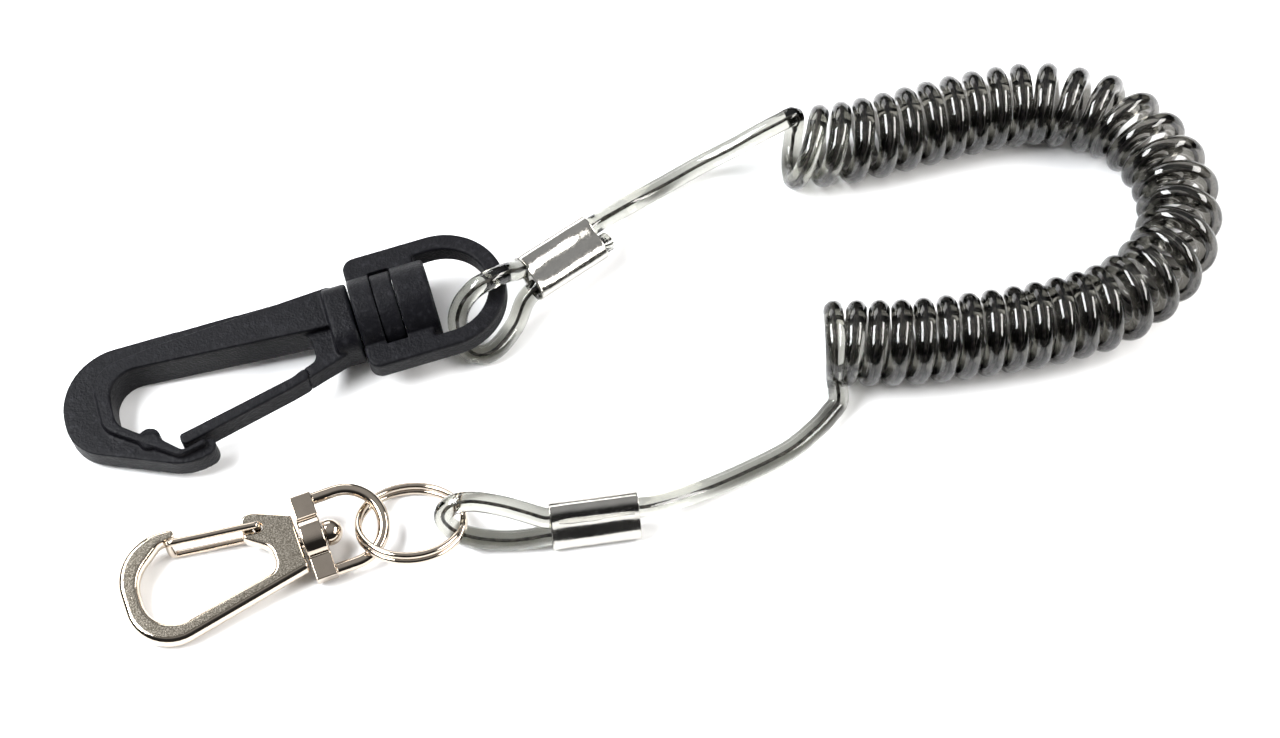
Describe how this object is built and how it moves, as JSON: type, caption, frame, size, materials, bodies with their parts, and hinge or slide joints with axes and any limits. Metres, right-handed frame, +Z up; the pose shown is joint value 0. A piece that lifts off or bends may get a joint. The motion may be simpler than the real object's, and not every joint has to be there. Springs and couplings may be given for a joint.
{
  "type": "coiled safety tether",
  "caption": "Coiled steel-cored tether in a clear smoke jacket, with a plastic swivel snap hook at one end and a small metal swivel clip on a split ring at the other.",
  "frame": {"origin": "on the table, under the middle of the box round the two hooks, the ring and the swivels (the cord, its coil and its sleeves left out)", "axes": "+Z up from the table, +X from the hooks towards the coil, +Y from the metal clip's side to the plastic hook's side"},
  "size_m": [0.201, 0.1117, 0.0161],
  "materials": {
    "black_plastic": "fine-grained black moulding",
    "satin_nickel": "tumbled satin nickel plate",
    "bright_nickel": "bright nickel plate",
    "smoke_jacket": "clear smoke-grey jacket over a thin dark steel strand"
  },
  "bodies": {
    "cord": {"cord_coil": "smoke_jacket", "cord_lead_upper": "smoke_jacket", "cord_lead_lower": "smoke_jacket", "cord_eye_upper": "smoke_jacket", "cord_eye_lower": "smoke_jacket", "cord_end_upper": "smoke_jacket", "crimp_sleeve_upper": "bright_nickel", "crimp_sleeve_lower": "bright_nickel"},
    "hook_eye": {"snap_hook_swivel_eye": "black_plastic"},
    "hook": {"snap_hook_body": "black_plastic"},
    "hook_gate": {"snap_hook_gate": "black_plastic"},
    "ring": {"split_ring": "bright_nickel"},
    "bail": {"clip_bail": "bright_nickel"},
    "clip": {"clip_body": "satin_nickel", "clip_swivel_rivet": "bright_nickel"},
    "wire_gate": {"clip_wire_gate": "bright_nickel"}
  },
  "joints": [
    {"name": "hook_eye_in_cord_eye", "type": "hinge", "parent": "cord", "child": "hook_eye", "pos_m": [0.0346, 0.0243, 0.008], "axis": [0, 0, 1], "range_deg": [-5, 9]},
    {"name": "hook_swivel", "type": "hinge", "parent": "hook_eye", "child": "hook", "pos_m": [0.0112, 0.0215, 0.00695], "axis": [0.9556, 0.2849, 0.075], "continuous": true},
    {"name": "hook_gate_hinge", "type": "hinge", "parent": "hook", "child": "hook_gate", "pos_m": [0.00328, 0.01001, 0.00613], "axis": [-0.0718, -0.0214, 0.9972], "range_deg": [-18, 0], "stiffness_Nm_per_rad": 0.01, "springref_deg": 17.19},
    {"name": "ring_in_cord_eye", "type": "hinge", "parent": "cord", "child": "ring", "pos_m": [0.0293, -0.0153, 0.0049], "axis": [0, 0, 1], "range_deg": [-8, 14]},
    {"name": "bail_on_ring", "type": "hinge", "parent": "ring", "child": "bail", "pos_m": [0.015, -0.0155, 0.0043], "axis": [0, 0, 1], "range_deg": [-8, 6]},
    {"name": "clip_swivel", "type": "hinge", "parent": "bail", "child": "clip", "pos_m": [0.0045, -0.0194, 0.00384], "axis": [0.9357, 0.3498, 0.0454], "continuous": true},
    {"name": "wire_gate_hinge", "type": "hinge", "parent": "clip", "child": "wire_gate", "pos_m": [-0.00279, -0.01735, 0.00399], "axis": [-0.0087, -0.1056, 0.9944], "range_deg": [0, 30], "stiffness_Nm_per_rad": 0.01, "springref_deg": -17.19}
  ]
}
